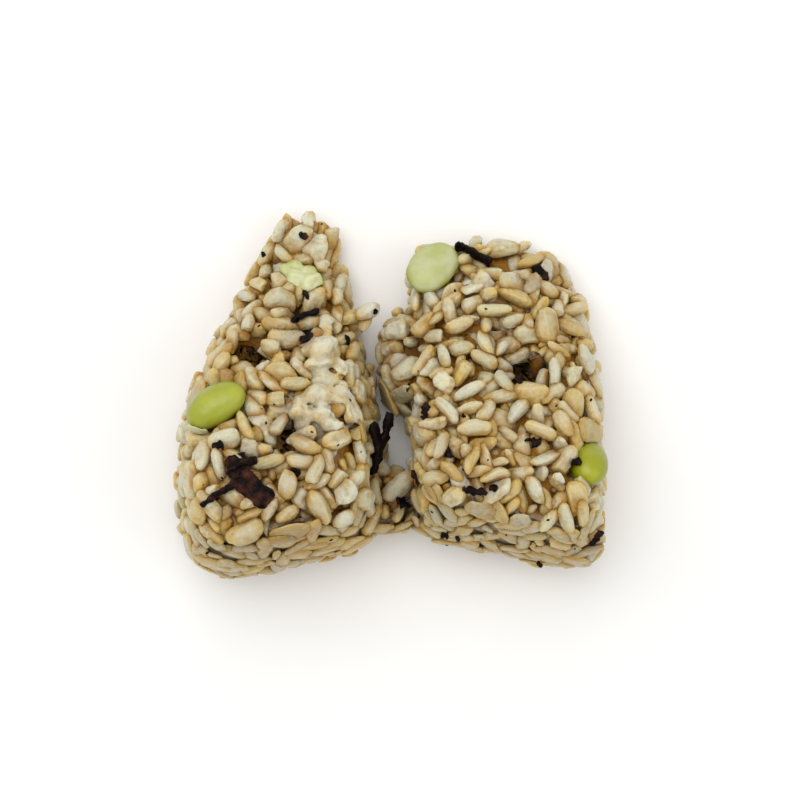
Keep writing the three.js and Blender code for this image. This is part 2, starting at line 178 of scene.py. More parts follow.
# Colours, as sRGB hex: cooked grains from palest to most browned
RICE_TINTS = ("#c9c7b3", "#c6c2a3", "#c7bd90", "#c2af70", "#b59650")
BARLEY_TINTS = ("#cbc7aa", "#c8be94", "#c3b078", "#b89c58", "#a38042")
TINT_SHARES = (0.36, 0.34, 0.19, 0.08, 0.03)
MASH_TINT = "#d3d0b9"
# painted shade: the moulded base faces away from the light, so its grains are greyed
BASE_SHADE_TINT = "#9a9072"
# amber of broth; also painted shade on the grains' lower sides and where grains touch
AMBER_TINT = "#cfae5c"
PATCH_PITCH = 7.0  # of the patches of rice that took up more broth, in millimetres
# pale upper middle of the grains: partly the chalky core, partly a painted highlight on the top
CORE_AND_TOP_LIGHT_TINT = "#cccab6"
# dark amber of the crevices: broth, and painted shade where grains touch and in the paste's gaps
EDGE_BROTH_AND_SHADE_TINT = "#9c6a18"
# broth brown at the stain spots, also painted shade in the hollows and where grains touch
BROTH_AND_SHADE_TINT = "#66380b"
# painted shade for sunken grains, and for the paste at the stain and shade spots
DEEP_SHADE_TINT = "#43240a"

# Where soy broth and kelp have stained the grains, and painted shade in the open hollows and on the bridge between the
# halves: pixel, radius in millimetres and strength
STAINS_AND_SHADE = (
    (300, 338, 4.5, 0.9), (252, 352, 4.0, 0.9), (250, 485, 6.5, 0.7), (295, 440, 4.5, 0.8), (262, 515, 6.0, 0.4),
    (318, 505, 4.0, 0.35), (523, 368, 5.0, 0.9), (540, 275, 6.0, 0.55), (565, 330, 6.0, 0.35), (428, 345, 5.0, 0.35),
    (420, 410, 4.0, 0.6), (411, 440, 4.0, 0.6), (392, 345, 6.0, 0.45), (385, 375, 5.0, 0.5), (560, 455, 5.0, 0.3),
    (445, 475, 4.0, 0.35), (595, 540, 4.0, 0.6), (190, 390, 5.0, 0.45), (300, 318, 5.0, 0.5), (278, 308, 4.0, 0.35),
    (395, 500, 7.0, 0.55), (375, 405, 4.0, 0.6), (303, 275, 3.5, 0.4), (318, 305, 3.0, 0.5), (240, 455, 4.0, 0.5),
    (232, 505, 4.0, 0.5), (290, 515, 4.0, 0.4), (502, 329, 3.0, 0.7), (406, 352, 4.0, 0.6), (450, 452, 3.0, 0.7),
    (384, 400, 4.0, 0.5), (494, 489, 3.5, 0.5), (445, 268, 4.0, 0.4), (355, 330, 3.0, 0.4), (285, 495, 13.0, 0.3),
    (490, 470, 12.0, 0.12), (300, 285, 9.0, 0.26), (388, 365, 6.0, 0.5),
)


def linear(hex_colour):
    """An sRGB hex colour as the linear red, green, blue and alpha that shaders use."""
    parts = [int(hex_colour[i : i + 2], 16) / 255 for i in (1, 3, 5)]
    return [p / 12.92 if p <= 0.04045 else ((p + 0.055) / 1.055) ** 2.4 for p in parts] + [1.0]


def unit(vectors):
    """Rows of vectors, each made one long."""
    return vectors / np.maximum(np.linalg.norm(vectors, axis=-1, keepdims=True), 1e-9)


def new_object(name, mesh):
    """Links a mesh to the scene as an object at the origin."""
    obj = bpy.data.objects.new(name, mesh)
    bpy.context.scene.collection.objects.link(obj)
    return obj


def form_of(obj):
    """An object's mesh as a bmesh."""
    form = bmesh.new()
    form.from_mesh(obj.data)
    return form


def mesh_of(form, name):
    """Turns a bmesh into a smooth-shaded mesh and frees it."""
    for face in form.faces:
        face.smooth = True
    mesh = bpy.data.meshes.new(name)
    form.to_mesh(mesh)
    form.free()
    return mesh


def merged_copy(node, name):
    """A copy of a CAD node's mesh with its loose triangles joined."""
    form = form_of(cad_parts[node])
    bmesh.ops.remove_doubles(form, verts=form.verts, dist=0.01 * MM)
    return new_object(name, mesh_of(form, name))


def remesh(obj, voxel):
    """Rebuilds an object's mesh in even small faces."""
    modifier = obj.modifiers.new("Even faces", "REMESH")
    modifier.mode = "VOXEL"
    modifier.voxel_size = voxel
    depsgraph = bpy.context.evaluated_depsgraph_get()
    mesh = bpy.data.meshes.new_from_object(obj.evaluated_get(depsgraph))
    obj.modifiers.clear()
    obj.data = mesh
    mesh.materials.clear()


def smooth(form, rounds, factor=0.5):
    """Evens out a bmesh."""
    for _ in range(rounds):
        bmesh.ops.smooth_vert(
            form, verts=form.verts, factor=factor, use_axis_x=True, use_axis_y=True, use_axis_z=True
        )


def place_piece(obj, material):
    """Gives a finished piece its material, and lets it ride with the part."""
    obj.data.materials.clear()
    obj.data.materials.append(material)
    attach(obj, "root")
    return obj


# The camera's geometry, for pieces placed by a pixel of the photograph


def camera_matrix():
    """The camera's place and turn: it looks down at the aim with the tips at the image's top."""
    rise = math.radians(CAMERA_ELEVATION)
    back = Vector((0, -math.cos(rise), math.sin(rise)))
    right = Vector((1, 0, 0))
    up = back.cross(right)
    turn = Matrix((right, up, back)).transposed().to_4x4()
    return Matrix.Translation(CAMERA_AIM + back * CAMERA_DISTANCE) @ turn


def pixel_ray(x, y):
    """The line of sight through a pixel, as its start and direction."""
    matrix = camera_matrix()
    focal = PIXELS_PER_MM * CAMERA_DISTANCE / MM
    middle = IMAGE_SIDE / 2
    direction = Vector(((x - middle) / focal, (middle - y) / focal, -1))
    return matrix.translation, (matrix.to_3x3() @ direction).normalized()


class Surface:
    """The outer surface of some pieces, for what lies on it."""

    def __init__(self, names):
        self.points, self.faces = [], []
        for name in names:
            mesh = bpy.data.objects[name].data
            start = len(self.points)
            self.points += [vertex.co / MM for vertex in mesh.vertices]
            self.faces += [[start + i for i in face.vertices] for face in mesh.polygons]
        self.tree = BVHTree.FromPolygons(self.points, self.faces)

    def under_pixel(self, x, y):
        """The point in millimetres and the normal that a pixel of the photograph shows, if any."""
        start, direction = pixel_ray(x, y)
        return self.tree.ray_cast(start / MM, direction)[:2]


class Skin(Surface):
    """The surface that the grains of both halves lie on."""

    def under_pixel(self, x, y):
        """As above, or else the point nearest to the line of sight's end."""
        point, normal = super().under_pixel(x, y)
        if point is None:
            start, direction = pixel_ray(x, y)
            point, normal, _, _ = self.tree.find_nearest(start / MM + direction * CAMERA_DISTANCE / MM)
        return point, normal

    def nearest(self, places):
        """For each place: the nearest skin point, its normal and the signed height over it."""
        found = [self.tree.find_nearest(Vector(place))[:2] for place in places]
        ground = np.array([point for point, _ in found])
        normals = np.array([normal for _, normal in found])
        return ground, normals, ((places - ground) * normals).sum(1)

    def scatter(self, spacing, rng):
        """Random points over the skin, no two closer than the spacing, with their normals."""
        points = np.array(self.points)
        corners = np.array([face[:3] for face in self.faces] + [[f[0], f[2], f[3]] for f in self.faces if len(f) > 3])
        a, b, c = points[corners[:, 0]], points[corners[:, 1]], points[corners[:, 2]]
        cross = np.cross(b - a, c - a)
        area = np.linalg.norm(cross, axis=1)
        tries = int(18 * area.sum() / 2 / spacing**2)
        chosen = rng.choice(len(area), tries, p=area / area.sum())
        u, v = rng.random((2, tries, 1))
        over = (u + v) > 1
        u, v = np.where(over, 1 - u, u), np.where(over, 1 - v, v)
        spots = a[chosen] + (b - a)[chosen] * u + (c - a)[chosen] * v
        normals = unit(cross[chosen])
        cells = {}
        kept = []
        for index, spot in enumerate(spots):
            key = tuple((spot // spacing).astype(int))
            near = [
                other
                for dx in (-1, 0, 1)
                for dy in (-1, 0, 1)
                for dz in (-1, 0, 1)
                for other in cells.get((key[0] + dx, key[1] + dy, key[2] + dz), ())
            ]
            if near and np.min(np.linalg.norm(spots[near] - spot, axis=1)) < spacing:
                continue
            cells.setdefault(key, []).append(index)
            kept.append(index)
        return spots[kept], normals[kept]


def rice_skin(half):
    """The smoothed surface of one half's rice, with the torn face's hollows and swells."""
    obj = merged_copy("rice_" + half, PASTE + half)
    remesh(obj, SKIN_VOXEL)
    form = form_of(obj)
    smooth(form, SKIN_SMOOTHING)
    obj.data = mesh_of(form, obj.name)
    return obj


def shape_relief(objects):
    """Sinks and raises the torn faces where the photograph shows hollows and clumps."""
    skin = Skin([obj.name for obj in objects])
    spots = [(skin.under_pixel(x, y)[0], radius, height) for x, y, radius, height in RELIEF]
    for obj in objects:
        for vertex in obj.data.vertices:
            if vertex.normal.z < TORN_UP:
                continue
            wave = 0.7 * noise.noise(vertex.co / MM / 7.0) + 0.4 * noise.noise(vertex.co / MM / 3.6)
            for spot, radius, height in spots:
                away = (vertex.co / MM - spot).length / radius
                wave += height * math.exp(-away * away)
            vertex.co += vertex.normal * wave * MM


def spots_on(skin, rows):
    """Rows of pixel, radius and strength as points in millimetres, radii and strengths."""
    points = np.array([skin.under_pixel(x, y)[0] for x, y, _, _ in rows])
    return points, np.array([row[2] for row in rows]), np.array([row[3] for row in rows])


def weight_at(places, spots):
    """How strongly the spots reach each place, from 0 to 1."""
    points, radii, strengths = spots
    away = np.linalg.norm(places[..., None, :] - points, axis=-1) / radii
    return (strengths * np.exp(-(away**2))).max(-1)


def sink_paste(obj, mashed, stains_and_shade):
    """Draws the paste in under the grains that cover it, less where they are mashed, and colours it: broth brown that
    is partly painted shade for the gaps, paler where mashed or moulded, and near black as painted shade at the stain
    and shade spots.
    """
    obj.data.update()
    places = np.array([vertex.co for vertex in obj.data.vertices]) / MM
    normals = np.array([vertex.normal for vertex in obj.data.vertices])
    blend = np.clip((normals[:, 2] - TORN_UP + 0.1) / 0.2, 0, 1)
    pale = np.clip(weight_at(places, mashed) * 1.3, 0, 1) * blend
    torn_depth = PASTE_DEPTH_TORN + (PASTE_DEPTH_MASHED - PASTE_DEPTH_TORN) * pale
    base = np.clip((BASE_BACK - normals[:, 1]) / 0.2 + 0.5, 0, 1)
    outer_depth = PASTE_DEPTH_SIDE + (PASTE_DEPTH_PRESSED - PASTE_DEPTH_SIDE) * base
    depth = outer_depth + (torn_depth - outer_depth) * blend
    lumps = np.array([noise.noise(Vector(place) / 2.4) + 0.5 * noise.noise(Vector(place) / 1.2) for place in places])
    stain_and_shade = weight_at(places, stains_and_shade)[:, None]
    depth += PASTE_DEPTH_STAINED * stain_and_shade[:, 0] - lumps * PASTE_LUMP * (0.3 + 0.7 * pale)
    places -= normals * depth[:, None]
    places[:, 2] = np.maximum(places[:, 2], FLOOR_GAP)
    obj.data.vertices.foreach_set("co", (places * MM).ravel())
    soaked_and_shaded, light, deep = (np.array(linear(tint)) for tint in (EDGE_BROTH_AND_SHADE_TINT, MASH_TINT, DEEP_SHADE_TINT))
    starchy = np.maximum(pale, base * (1 - blend) * 0.6)[:, None]
    colours = soaked_and_shaded + (light - soaked_and_shaded) * starchy
    # painted shade: near black at the stain and shade spots
    colours += (deep * 0.2 - colours) * stain_and_shade
    paint(obj, colours)


def paint(obj, colours):
    """Gives each of an object's points its linear colour."""
    attribute = obj.data.attributes.new("Grain colour", "FLOAT_COLOR", "POINT")
    attribute.data.foreach_set("color", colours.astype(np.float32).ravel())


# The grains as rows of numbers, settled against each other, then made into meshes


def grain_rows(places, normals, kinds, along, height, pressed, fixed, rng):
    """One table of grains: places in millimetres and everything that shapes each grain."""
    names = list(KINDS)
    count = len(places)
    stray = 1 + rng.uniform(-0.2, 0.2, (count, 3))
    if not fixed:
        # broken and shrunken grains among the whole ones
        stray *= np.where(rng.random((count, 1)) < SMALL_SHARE, rng.uniform(0.55, 0.8, (count, 1)), 1)
    sizes = np.array([[KINDS[names[k]][part] for part in ("length", "width", "thickness")] for k in kinds])
    return {
        "place": np.array(places, float),
        "normal": np.array(normals, float),
        "kind": np.array(kinds),
        "along": unit(np.array(along, float)),
        "size": sizes * stray,
        "height": np.full(count, height) if np.isscalar(height) else np.array(height, float),
        "pressed": np.array(pressed, bool),
        "fixed": np.full(count, fixed),
    }


def layer_of_grains(skin, layer, mashed, taken, rng):
    """Scatters one layer of grains over the torn or the pressed faces."""
    spots, normals = skin.scatter(layer["spacing"], rng)
    torn = normals[:, 2] > TORN_UP
    keep = torn if layer["torn"] else ~torn
    if layer["height"] > -1:
        keep &= np.linalg.norm(spots[:, None] - taken, axis=-1).min(1) > CHOSEN_ROOM
    spots, normals = spots[keep], normals[keep]
    count = len(spots)
    kinds = rng.choice(3, count, p=layer["shares"])
    if layer["torn"]:
        kinds[rng.random(count) < weight_at(spots, mashed)] = list(KINDS).index("mash")
    along = rng.normal(size=(count, 3))
    if not layer["torn"]:
        along[:, 2] *= 0.45
    upright = rng.uniform(0.1, 0.95 if layer["torn"] else 0.55, (count, 1))
    along -= normals * (along * normals).sum(1, keepdims=True) * (1 - upright)
    pressed = (normals[:, 1] < BASE_BACK) & (not layer["torn"])
    height = layer["height"] + rng.normal(0, layer["stray"], count).clip(-1.8, 1.5)
    height = np.where(pressed, PRESSED_HEIGHT + rng.uniform(-0.3, 0.3, count), height)
    places = spots + normals * height[:, None]
    return grain_rows(places, normals, kinds, along, height, pressed, False, rng)


def chosen_grains(skin, rng):
    """The grains and lumps placed one by one, as the photograph shows them."""
    names = list(KINDS)
    rows = [(x, y, bearing, kind, rise, 1.0) for x, y, bearing, kind, rise in HERO_GRAINS]
    rows += [(x, y, bearing, "mash", rise, size) for x, y, bearing, size, rise in FLAKES]
    places, normals, along, heights = [], [], [], []
    for x, y, bearing, kind, rise, _ in rows:
        point, normal = skin.under_pixel(x, y)
        heading = Vector((math.cos(math.radians(bearing)), math.sin(math.radians(bearing)), 0))
        places.append(point + normal * rise)
        normals.append(normal)
        along.append(heading - normal * heading.dot(normal))
        heights.append(rise)
    kinds = [names.index(row[3]) for row in rows]
    pressed = [normal.z < TORN_UP and normal.y < BASE_BACK for normal in normals]
    table = grain_rows(places, normals, kinds, along, heights, pressed, True, rng)
    table["size"] *= np.array([[row[5]] for row in rows])
    return table


def stray_grains(rng):
    """The grains that stand out at the left tip and beside the gap."""
    names = list(KINDS)
    places = [row[:3] for row in STRAY_GRAINS]
    bearings = [math.radians(row[3]) for row in STRAY_GRAINS]
    along = [(math.cos(b), math.sin(b), -0.12) for b in bearings]
    kinds = [names.index(row[4]) for row in STRAY_GRAINS]
    count = len(places)
    return grain_rows(places, [(0, 0, 1)] * count, kinds, along, 0.0, [False] * count, True, rng)


def stones():
    """Balls in millimetres that keep the grains out of the soybeans and the kelp."""
    centres, radii = [], []
    for node in SOYBEANS:
        middle, axes, size = principal_axes(node)
        reach = size[0] / 2 - size[1] / 2
        for share in (-1, -0.5, 0, 0.5, 1):
            centres.append(middle + axes[0] * reach * share)
            radii.append((size[1] + size[2]) / 4)
    for node in KELP_SWELL:
        points = node_points(node)
        for point in points[:: max(1, len(points) // 24)]:
            centres.append(point)
            radii.append(0.7)
    return np.array(centres), np.array(radii)


def node_points(node):
    """A CAD node's points in millimetres."""
    return np.array([vertex.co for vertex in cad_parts[node].data.vertices]) / MM


def principal_axes(node):
    """A bean's middle, its axes from longest to shortest and its size along them, in millimetres."""
    points = node_points(node)
    middle = (points.max(0) + points.min(0)) / 2
    _, vectors = np.linalg.eigh(np.cov((points - points.mean(0)).T))
    axes = vectors.T[::-1]
    spread = (points - middle) @ axes.T
    return middle, axes, spread.max(0) - spread.min(0)


def tree_of(places):
    """A search tree of points."""
    tree = KDTree(len(places))
    for index, place in enumerate(places):
        tree.insert(place, index)
    tree.balance()
    return tree


def close_pairs(places, reach):
    """Each pair of grains that may touch, as two lists of numbers."""
    tree = tree_of(places)
    pairs = [
        (index, other)
        for index, place in enumerate(places)
        for _, other, _ in tree.find_range(place, reach)
        if other > index
    ]
    return np.array(pairs).T


def ball_sizes(table):
    """Each grain as three balls: how far the end balls' middles lie out, and the balls' radii."""
    radius = (table["size"][:, 1] + table["size"][:, 2]) / 4
    return table["size"][:, 0] / 2 - radius, radius[:, None] * np.array([0.86, 1.0, 0.86])


def balls_of(table, reach):
    """The middles of every grain's three balls."""
    return table["place"][:, None] + table["along"][:, None] * (reach[:, None] * BALLS)[..., None]


def settle(table, skin, hard, hard_radius):
    """Pushes grains out of each other and out of the beans, and keeps them near their layer."""
    reach, ball_radius = ball_sizes(table)
    place, along = table["place"], table["along"]
    free = ~table["fixed"]
    lean = np.where(table["pressed"], 0.9, 0.007)
    for step in range(SETTLE_STEPS):
        if step % 8 == 0:
            first, second = close_pairs(place, SETTLE_REACH)
        balls = balls_of(table, reach)
        apart = balls[first][:, :, None] - balls[second][:, None]
        gap = np.linalg.norm(apart, axis=-1)
        room = (ball_radius[first][:, :, None] + ball_radius[second][:, None]) * TIGHTNESS
        shove = apart / np.maximum(gap, 1e-6)[..., None] * (np.clip(room - gap, 0, None) * SHOVE)[..., None]
        push = np.zeros_like(balls)
        np.add.at(push, first, shove.sum(2))
        np.add.at(push, second, -shove.sum(1))
        off = balls[:, :, None] - hard
        clear = np.linalg.norm(off, axis=-1)
        deep = np.clip(ball_radius[..., None] * 0.8 + hard_radius - clear, 0, None)
        push += (off / np.maximum(clear, 1e-6)[..., None] * deep[..., None] * 0.5).sum(2)
        balls[free] += np.clip(push[free], -LONGEST_SHOVE, LONGEST_SHOVE)
        place[free] = balls[free].mean(1)
        along[free] = unit(balls[free, 2] - balls[free, 0])
        if step % 3 == 0 or step > SETTLE_STEPS - 4:
            ground, normals, lift = skin.nearest(place)
            table["normal"] = unit(table["normal"] * 0.5 + normals * 0.5)
        normal = table["normal"]
        lift = ((place - ground) * normals).sum(1)
        stray = lift - table["height"]
        pull = np.sign(stray) * np.clip(np.abs(stray) - 0.3, 0, None) * 0.3
        place[free] -= (normals * pull[:, None])[free]
        tilt = (along * normal).sum(1, keepdims=True)
        along[free] = unit(along - normal * tilt * lean[:, None])[free]
    table["ground"] = ground


def crowded(table):
    """Marks the free grains that still lie deep inside another, so they can be left out."""
    place, radius = table["place"], (table["size"][:, 1] + table["size"][:, 2]) / 4
    first, second = close_pairs(place, SETTLE_REACH)
    gap = np.linalg.norm(place[first] - place[second], axis=1)
    deep = gap < 0.5 * (radius[first] + radius[second])
    out = np.zeros(len(place), bool)
    for one, other in zip(first[deep], second[deep]):
        if out[one] or out[other]:
            continue
        out[other if not table["fixed"][other] else one] = True
    return out & ~table["fixed"]


def in_hollow(table, skin):
    """Marks the free grains that would fill an open hollow."""
    out = np.zeros(len(table["ground"]), bool)
    for x, y, radius in HOLLOWS:
        spot = np.array(skin.under_pixel(x, y)[0])
        out |= np.linalg.norm(table["ground"] - spot, axis=1) < radius
    return out & ~table["fixed"]


def grain_form(kind):
    """The points of a unit grain lying along Y, and its faces."""
    shape = KINDS[kind]
    form = bmesh.new()
    bmesh.ops.create_uvsphere(form, u_segments=shape["around"], v_segments=shape["rings"], radius=1)
    bmesh.ops.rotate(form, verts=form.verts, cent=(0, 0, 0), matrix=Matrix.Rotation(math.pi / 2, 3, "X"))
    points = np.array([vertex.co for vertex in form.verts])
    faces = [[vertex.index for vertex in face.verts] for face in form.faces]
    form.free()
    return points, faces


def grown_grains(kind, count, rng):
    """Unit grains, each bent, tapered, twisted and dented in its own way: grains by points by x, y, z."""
    base, _ = grain_form(kind)
    points = np.repeat(base[None], count, 0)
    y = points[:, :, 1]
    girth = np.sqrt(np.maximum(1 - y**2, 1e-6))

    def draw(low, high):
        return rng.uniform(low, high, (count, 1))

    full = np.sqrt(np.maximum(1 - np.abs(y) ** draw(2.2, 3.6), 0))
    swell = 1 + draw(-0.15, 0.15) * y + draw(0.02, 0.1) * np.sin(draw(2, 5) * y + draw(0, 6.3))
    turn = np.arctan2(points[:, :, 2], points[:, :, 0])
    section = 1 + draw(0, 0.1) * np.cos(3 * turn + draw(0, 6.3)) + draw(0, 0.07) * np.cos(4 * turn + draw(0, 6.3))
    twist = draw(-0.5, 0.5) * y
    reach = full / girth * swell * section
    x, z = points[:, :, 0] * reach, points[:, :, 2] * reach
    points[:, :, 0] = x * np.cos(twist) - z * np.sin(twist) + draw(-0.45, 0.45) * (1 - y**2) * 0.6
    points[:, :, 2] = x * np.sin(twist) + z * np.cos(twist) + draw(-0.2, 0.2) * (1 - y**2)
    broken = rng.random((count, 1)) < {"rice": 0.13, "barley": 0.06, "mash": 0.3}[kind]
    end = draw(0.1, 0.75) + 0.25 * points[:, :, 0]
    points[:, :, 1] = np.where(broken & (y > end), end + (y - end) * 0.12, y)
    if kind == "barley":
        crease = np.exp(-((x / 0.3) ** 2)) * (1 - y**2) * np.clip(z * 3, 0, 1)
        points[:, :, 2] -= draw(0.08, 0.38) * crease
    rough = {"rice": 0.11, "barley": 0.09, "mash": 0.2}[kind]
    for pitch in (1.7, 3.6):
        for axis in range(3):
            phase = rng.uniform(0, 6.3, (count, 1, 3))
            waves = np.sin(base[None] * pitch * rng.uniform(0.7, 1.3, (count, 1, 3)) * 2 + phase).sum(2) / 3
            points[:, :, axis] += rough * waves * (1.7 / pitch)
    return points


def in_place(table, chosen, unit_points, rng):
    """Puts unit grains where their rows say, flattened where they are pressed; in millimetres."""
    along, normal = table["along"][chosen], table["normal"][chosen]
    up = unit(normal - along * (normal * along).sum(1, keepdims=True))
    pressed = table["pressed"][chosen]
    roll = np.where(pressed, 0.2, 1.2) * rng.uniform(-1, 1, len(chosen))
    # pressed grains overlap like shingles, with their lower edges out
    roll += np.where(pressed, 0.14, 0) * np.sign(np.cross(along, up)[:, 2])
    across = np.cross(along, up)
    across, up = (
        across * np.cos(roll)[:, None] + up * np.sin(roll)[:, None],
        up * np.cos(roll)[:, None] - across * np.sin(roll)[:, None],
    )
    half = table["size"][chosen] / 2 * np.where(pressed[:, None], PRESSED_FORM, 1)
    moved = (
        table["place"][chosen][:, None]
        + across[:, None] * (unit_points[:, :, 0] * half[:, None, 1])[..., None]
        + along[:, None] * (unit_points[:, :, 1] * half[:, None, 0])[..., None]
        + up[:, None] * (unit_points[:, :, 2] * half[:, None, 2])[..., None]
    )
    height = ((moved - table["ground"][chosen][:, None]) * normal[:, None]).sum(2)
    limit = np.where(pressed, RISE_PRESSED, np.where(normal[:, 2] > TORN_UP, RISE_TORN, RISE_SIDE))[:, None]
    over = np.clip(height - limit, 0, None) * RISE_CUT
    moved -= normal[:, None] * over[..., None]
    z = moved[:, :, 2]
    z = np.where(z < SQUASH_BELOW, SQUASH_BELOW + (z - SQUASH_BELOW) * 0.1, z)
    moved[:, :, 2] = np.maximum(z, FLOOR_GAP)
    return moved, height - over


def closeness(table, chosen, moved):
    """How near each point is to another grain: 1 where they touch, 0 where it is out of reach."""
    reach, radius = ball_sizes(table)
    balls = balls_of(table, reach)
    rank = np.full(len(reach), -1)
    rank[chosen] = np.arange(len(chosen))
    first, second = close_pairs(table["place"], SETTLE_REACH)
    near = np.zeros(moved.shape[:2])
    for own, other in ((first, second), (second, first)):
        own, other = rank[own][rank[own] >= 0], other[rank[own] >= 0]
        for part in np.array_split(np.arange(len(own)), max(1, len(own) // 4000)):
            away = np.linalg.norm(moved[own[part]][:, :, None] - balls[other[part]][:, None], axis=-1)
            gap = (away - radius[other[part]][:, None]).min(2)
            np.maximum.at(near, own[part], np.clip(1 - gap / TOUCH_REACH, 0, 1))
    return near


def grain_colours(kind, table, chosen, unit_points, moved, height, stains_and_shade, rng):
    """A colour for each point: the grain's own tint, browner at its ends and in stains, with painted shade on its
    lower side, where it touches other grains and where it lies sunk, and a painted pale top.
    """
    tints = {"rice": RICE_TINTS, "barley": BARLEY_TINTS, "mash": (MASH_TINT,) * 5}[kind]
    palette = np.array([linear(tint)[:3] for tint in tints])
    pick = rng.choice(5, len(chosen), p=TINT_SHARES)
    colour = np.repeat(palette[pick][:, None], unit_points.shape[1], 1)
    colour *= rng.uniform(0.9, 1.06, (len(chosen), 1, 1))

    def blend(tint, amount):
        nonlocal colour
        amount = np.clip(amount, 0, 1)[..., None]
        colour = colour * (1 - amount) + np.array(linear(tint)[:3]) * amount

    pressed = table["pressed"][chosen][:, None]
    # painted shade on the moulded base's grains
    blend(BASE_SHADE_TINT, np.where(pressed, 0.65, 0))
    along = unit_points[:, :, 1]
    gold = 0.25 if kind == "mash" else 1.0
    # the lower side of each grain turns amber: partly broth pooled below, partly painted shade
    rise = ((moved - table["place"][chosen][:, None]) * table["normal"][chosen][:, None]).sum(2)
    rise /= table["size"][chosen][:, 2:] / 2
    blend(AMBER_TINT, np.clip(0.35 - rise, 0, 1) * rng.uniform(0.2, 0.9, (len(chosen), 1)) * gold)
    patch = np.array([[noise.noise(Vector(place) / PATCH_PITCH)] for place in table["place"][chosen]])
    blend(AMBER_TINT, np.clip(patch * 1.8, 0, 0.6) * gold)
    side = rng.uniform(-1, 1, (len(chosen), 1))
    blend(AMBER_TINT, np.clip(along * np.sign(side), 0, 1) ** 2 * np.abs(side) ** 0.7)
    # partly the chalky core, partly a painted highlight on the grain's top
    core_and_top_light = np.clip(rise, 0, 1) * np.clip(1 - along**2, 0, 1)
    blend(CORE_AND_TOP_LIGHT_TINT, core_and_top_light * rng.uniform(0, 0.9, (len(chosen), 1)))
    stain_and_shade = weight_at(moved, stains_and_shade)
    near = closeness(table, chosen, moved)
    soaked_and_shaded = np.where(pressed, 0.6, gold)
    # painted shade where grains touch, mixed with the broth that soaks in there
    blend(AMBER_TINT, near * 0.95 * soaked_and_shaded)
    blend(EDGE_BROTH_AND_SHADE_TINT, near**2.2 * (0.85 + 0.15 * stain_and_shade) * soaked_and_shaded)
    # broth brown at the stain spots, with painted shade in the hollows among them, stronger where grains touch
    blend(BROTH_AND_SHADE_TINT, stain_and_shade * (0.45 + 0.75 * near))
    # painted shade: grains that lie deeper under the skin are darkened
    sunk = np.where(pressed, (-height - 0.9) / 2.5, (-height - 1.6) / 4.0)
    blend(DEEP_SHADE_TINT, np.clip(sunk, 0, 0.9))
    return colour


def grains_mesh(name, kind, table, stains_and_shade, rng):
    """Joins all grains of one kind in a mesh with a colour at every point."""
    chosen = np.flatnonzero(table["kind"] == list(KINDS).index(kind))
    _, faces = grain_form(kind)
    units = grown_grains(kind, len(chosen), rng)
    moved, height = in_place(table, chosen, units, rng)
    colour = grain_colours(kind, table, chosen, units, moved, height, stains_and_shade, rng)
    per_grain = units.shape[1]
    all_faces = [[i + start for i in face] for start in range(0, len(chosen) * per_grain, per_grain) for face in faces]
    mesh = bpy.data.meshes.new(name)
    places = moved.reshape(-1, 3) * MM
    mesh.from_pydata(places.tolist(), [], all_faces)
    piece = new_object(name, mesh)
    flat = np.concatenate([colour.reshape(-1, 3), np.ones((len(chosen) * per_grain, 1))], 1)
    if kind == "mash":
        flat = fuse(piece, places, flat)
    piece.data.shade_smooth()
    paint(piece, flat)
    return piece


def fuse(piece, places, colours):
    """Melts a piece's overlapping lumps into soft masses, and gives the colours of the new points."""
    remesh(piece, MASH_VOXEL)
    tree = tree_of(places)
    form = form_of(piece)
    near = [[index for _, index, _ in tree.find_n(vertex.co, 3)] for vertex in form.verts]
    smooth(form, MASH_SMOOTHING)
    form.normal_update()
    for vertex in form.verts:
        spot = vertex.co / MM
        lump = 0.5 * noise.noise(spot / 2.2) - 0.4 * abs(noise.noise(spot / 1.6)) + 0.1 * noise.noise(spot / 0.8)
        vertex.co += vertex.normal * lump * MM
        vertex.co.z = max(vertex.co.z, FLOOR_GAP * MM)
    piece.data = mesh_of(form, piece.name)
    return colours[np.array(near)].mean(1)


# Materials


def add_node(material, kind, links=None, **settings):
    """Adds a shader node: settings are its properties or inputs by name, links are input to output socket."""
    node = material.node_tree.nodes.new(kind)
    for name, value in settings.items():
        if hasattr(node, name):
            setattr(node, name, value)
        else:
            node.inputs[name.replace("_", " ")].default_value = value
    for name, socket in (links or {}).items():
        material.node_tree.links.new(node.inputs[name], socket)
    return node


def new_material(name):
    """An empty node material with its surface shader, linked to the output."""
    material = bpy.data.materials.new(name)
    material.use_nodes = True
    material.node_tree.nodes.clear()
    shader = add_node(material, "ShaderNodeBsdfPrincipled")
    add_node(material, "ShaderNodeOutputMaterial", {"Surface": shader.outputs["BSDF"]})
    return material, shader


def connect(material, shader, name, socket):
    """Links an output socket to one of the shader's inputs."""
    material.node_tree.links.new(shader.inputs[name], socket)


def set_shader(shader, **settings):
    """Sets the shader's own values."""
    for name, value in settings.items():
        shader.inputs[name.replace("_", " ")].default_value = value


def pattern(material, size_mm, detail=2.0, stretch=(1, 1, 1), roughness=0.5):
    """Noise whose features are about the given size in millimetres, on the piece's own coordinates."""
    place = add_node(material, "ShaderNodeTexCoord")
    scale = add_node(material, "ShaderNodeMapping", {"Vector": place.outputs["Object"]}, Scale=stretch)
    return add_node(
        material,
        "ShaderNodeTexNoise",
        {"Vector": scale.outputs["Vector"]},
        Scale=1 / (size_mm * MM),
        Detail=detail,
        Roughness=roughness,
    )


